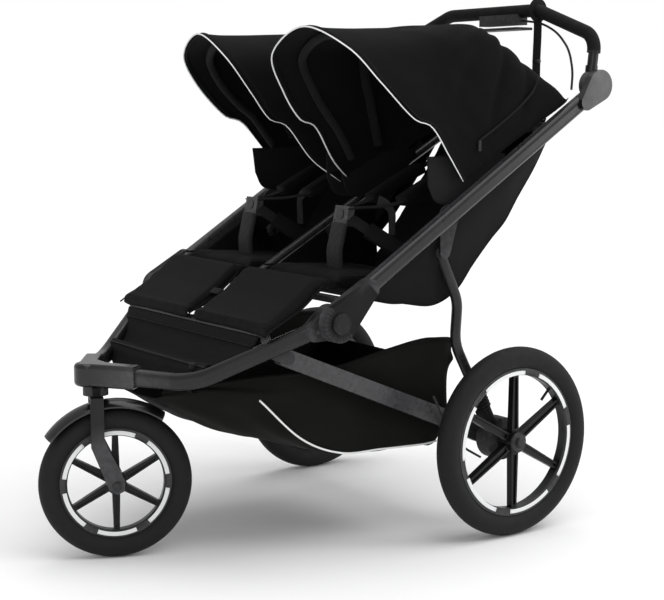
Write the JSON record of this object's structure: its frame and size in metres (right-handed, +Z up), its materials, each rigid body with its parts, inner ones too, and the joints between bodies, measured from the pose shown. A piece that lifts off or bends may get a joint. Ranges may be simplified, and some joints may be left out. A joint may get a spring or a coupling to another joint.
{
  "type": "double jogging stroller",
  "caption": "Side-by-side double jogging stroller: folding tubular frame, swivelling front wheel, two large rear wheels, two hooded seats and a storage basket.",
  "frame": {"origin": "on the floor, under the middle of the whole stroller", "axes": "+Z up; front wheel towards -Y, handlebar towards +Y; +X is the seated children's left"},
  "size_m": [0.78, 1.1581, 1.1205],
  "materials": {
    "tube_black": "satin black powder coat",
    "cast_black": "satin black",
    "plastic_black": "fine matte",
    "tyre_rubber": "matte ribbed rubber",
    "rim_plastic": "satin",
    "steel": "plated",
    "foam_grip": "stitched soft grip",
    "fabric_canopy": "black woven polyester",
    "fabric_seat": "black padded fabric",
    "fabric_basket": "black coated fabric",
    "webbing": "black webbing",
    "button_grey": "matte grey",
    "boot_rubber": "matte ribbed",
    "cable_black": "smooth cable cover"
  },
  "bodies": {
    "front_frame": {"front_tube_left": "tube_black", "front_tube_right": "tube_black", "steering_head": "plastic_black", "fold_plates": "cast_black", "foot_bar": "tube_black", "step_bar": "tube_black", "footwell": "fabric_seat", "calf_pad_left": "fabric_seat", "calf_pad_right": "fabric_seat"},
    "fork": {"fork": "cast_black", "mudguard": "plastic_black", "front_axle": "steel"},
    "swivel_lock": {"swivel_lock": "plastic_black"},
    "front_wheel": {"front_tyre": "tyre_rubber", "front_rim": "rim_plastic"},
    "upper_frame": {"upper_tube_left": "tube_black", "upper_tube_right": "tube_black", "fold_hub_left": "plastic_black", "fold_hub_right": "plastic_black", "strut_brackets": "cast_black", "centre_frame": "tube_black", "back_bar": "tube_black", "seat_left": "fabric_seat", "seat_right": "fabric_seat", "lap_straps": "webbing", "buckles": "button_grey", "canopy_left": "fabric_canopy", "canopy_right": "fabric_canopy"},
    "handlebar": {"handle_tube": "tube_black", "handle_grip": "foam_grip", "brake_console": "plastic_black", "handle_cable": "cable_black"},
    "brake_lever": {"brake_lever": "plastic_black"},
    "rear_chassis": {"rail_left": "tube_black", "rail_right": "tube_black", "axle_tube": "tube_black", "brake_drums": "cast_black", "bellows": "boot_rubber", "rear_cables": "cable_black", "basket": "fabric_basket"},
    "rear_struts": {"rear_struts": "tube_black"},
    "parking_brake": {"brake_pedal": "plastic_black"},
    "rear_wheel_left": {"rear_tyre_left": "tyre_rubber", "rear_rim_left": "rim_plastic"},
    "release_left": {"release_button_left": "button_grey"},
    "handle_lock_left": {"handle_button_left": "button_grey"},
    "canopy_front_left": {"canopy_bow_front_left": "steel"},
    "canopy_middle_left": {"canopy_bow_middle_left": "steel"},
    "backrest_left": {"backrest_left": "fabric_seat", "shoulder_straps_left": "webbing"},
    "buckle_left": {"buckle_button_left": "button_grey"},
    "rear_wheel_right": {"rear_tyre_right": "tyre_rubber", "rear_rim_right": "rim_plastic"},
    "release_right": {"release_button_right": "button_grey"},
    "handle_lock_right": {"handle_button_right": "button_grey"},
    "canopy_front_right": {"canopy_bow_front_right": "steel"},
    "canopy_middle_right": {"canopy_bow_middle_right": "steel"},
    "backrest_right": {"backrest_right": "fabric_seat", "shoulder_straps_right": "webbing"},
    "buckle_right": {"buckle_button_right": "button_grey"}
  },
  "joints": [
    {"name": "main_fold", "type": "hinge", "parent": "front_frame", "child": "upper_frame", "pos_m": [0, -0.132, 0.487], "axis": [-1, 0, 0], "range_deg": [0, 105]},
    {"name": "chassis_fold", "type": "hinge", "parent": "front_frame", "child": "rear_chassis", "pos_m": [0, -0.194, 0.415], "axis": [-1, 0, 0], "range_deg": [0, 87], "deforming": ["basket", "bellows"]},
    {"name": "strut_fold", "type": "hinge", "parent": "upper_frame", "child": "rear_struts", "pos_m": [0, 0.151, 0.604], "axis": [-1, 0, 0], "range_deg": [-36, 0]},
    {"name": "swivel", "type": "hinge", "parent": "front_frame", "child": "fork", "pos_m": [0, -0.47, 0.33], "axis": [0, 0, 1], "continuous": true},
    {"name": "swivel_lock_turn", "type": "hinge", "parent": "front_frame", "child": "swivel_lock", "pos_m": [0, -0.47, 0.34], "axis": [0, 0, 1], "range_deg": [0, 45]},
    {"name": "front_wheel_spin", "type": "hinge", "parent": "fork", "child": "front_wheel", "pos_m": [0.01395, -0.43681, 0.1525], "axis": [0.9219, -0.3875, 0], "continuous": true},
    {"name": "rear_wheel_spin_left", "type": "hinge", "parent": "rear_chassis", "child": "rear_wheel_left", "pos_m": [0.362, 0.311, 0.2], "axis": [1, 0, 0], "continuous": true},
    {"name": "release_press_left", "type": "slide", "parent": "rear_wheel_left", "child": "release_left", "axis": [-1, 0, 0], "range_m": [0, 0.003], "stiffness_N_per_m": 300},
    {"name": "handle_lock_press_left", "type": "slide", "parent": "handlebar", "child": "handle_lock_left", "axis": [1, 0, 0], "range_m": [0, 0.003], "stiffness_N_per_m": 300},
    {"name": "canopy_fold_left", "type": "hinge", "parent": "upper_frame", "child": "canopy_front_left", "pos_m": [0, 0.181, 0.742], "axis": [-1, 0, 0], "range_deg": [0, 66], "deforming": ["canopy_left"]},
    {"name": "canopy_middle_fold_left", "type": "hinge", "parent": "upper_frame", "child": "canopy_middle_left", "pos_m": [0, 0.181, 0.742], "axis": [-1, 0, 0], "range_deg": [0, 34]},
    {"name": "recline_left", "type": "hinge", "parent": "upper_frame", "child": "backrest_left", "pos_m": [0, 0.199, 0.538], "axis": [-1, 0, 0], "range_deg": [0, 20]},
    {"name": "buckle_press_left", "type": "slide", "parent": "upper_frame", "child": "buckle_left", "axis": [0, 0.9781, -0.2079], "range_m": [0, 0.0025], "stiffness_N_per_m": 300},
    {"name": "rear_wheel_spin_right", "type": "hinge", "parent": "rear_chassis", "child": "rear_wheel_right", "pos_m": [-0.362, 0.311, 0.2], "axis": [1, 0, 0], "continuous": true},
    {"name": "release_press_right", "type": "slide", "parent": "rear_wheel_right", "child": "release_right", "axis": [1, 0, 0], "range_m": [0, 0.003], "stiffness_N_per_m": 300},
    {"name": "handle_lock_press_right", "type": "slide", "parent": "handlebar", "child": "handle_lock_right", "axis": [-1, 0, 0], "range_m": [0, 0.003], "stiffness_N_per_m": 300},
    {"name": "canopy_fold_right", "type": "hinge", "parent": "upper_frame", "child": "canopy_front_right", "pos_m": [0, 0.181, 0.742], "axis": [-1, 0, 0], "range_deg": [0, 66], "deforming": ["canopy_right"]},
    {"name": "canopy_middle_fold_right", "type": "hinge", "parent": "upper_frame", "child": "canopy_middle_right", "pos_m": [0, 0.181, 0.742], "axis": [-1, 0, 0], "range_deg": [0, 34]},
    {"name": "recline_right", "type": "hinge", "parent": "upper_frame", "child": "backrest_right", "pos_m": [0, 0.199, 0.538], "axis": [-1, 0, 0], "range_deg": [0, 20]},
    {"name": "buckle_press_right", "type": "slide", "parent": "upper_frame", "child": "buckle_right", "axis": [0, 0.9781, -0.2079], "range_m": [0, 0.0025], "stiffness_N_per_m": 300},
    {"name": "handle_fold", "type": "hinge", "parent": "upper_frame", "child": "handlebar", "pos_m": [0, 0.546, 0.939], "axis": [-1, 0, 0], "range_deg": [0, 110]},
    {"name": "brake_squeeze", "type": "hinge", "parent": "handlebar", "child": "brake_lever", "pos_m": [0.045, 0.576, 1.067], "axis": [-1, 0, 0], "range_deg": [0, 10], "stiffness_Nm_per_rad": 0.4},
    {"name": "parking_brake_press", "type": "hinge", "parent": "rear_chassis", "child": "parking_brake", "pos_m": [0, 0.311, 0.2], "axis": [1, 0, 0], "range_deg": [-20, 0]}
  ],
  "couplings": [
    {"joint": "chassis_fold", "follows": "main_fold", "ratio": 0.82},
    {"joint": "strut_fold", "follows": "main_fold", "ratio": -0.34},
    {"joint": "canopy_middle_fold_left", "follows": "canopy_fold_left", "ratio": 0.5},
    {"joint": "canopy_middle_fold_right", "follows": "canopy_fold_right", "ratio": 0.5}
  ]
}
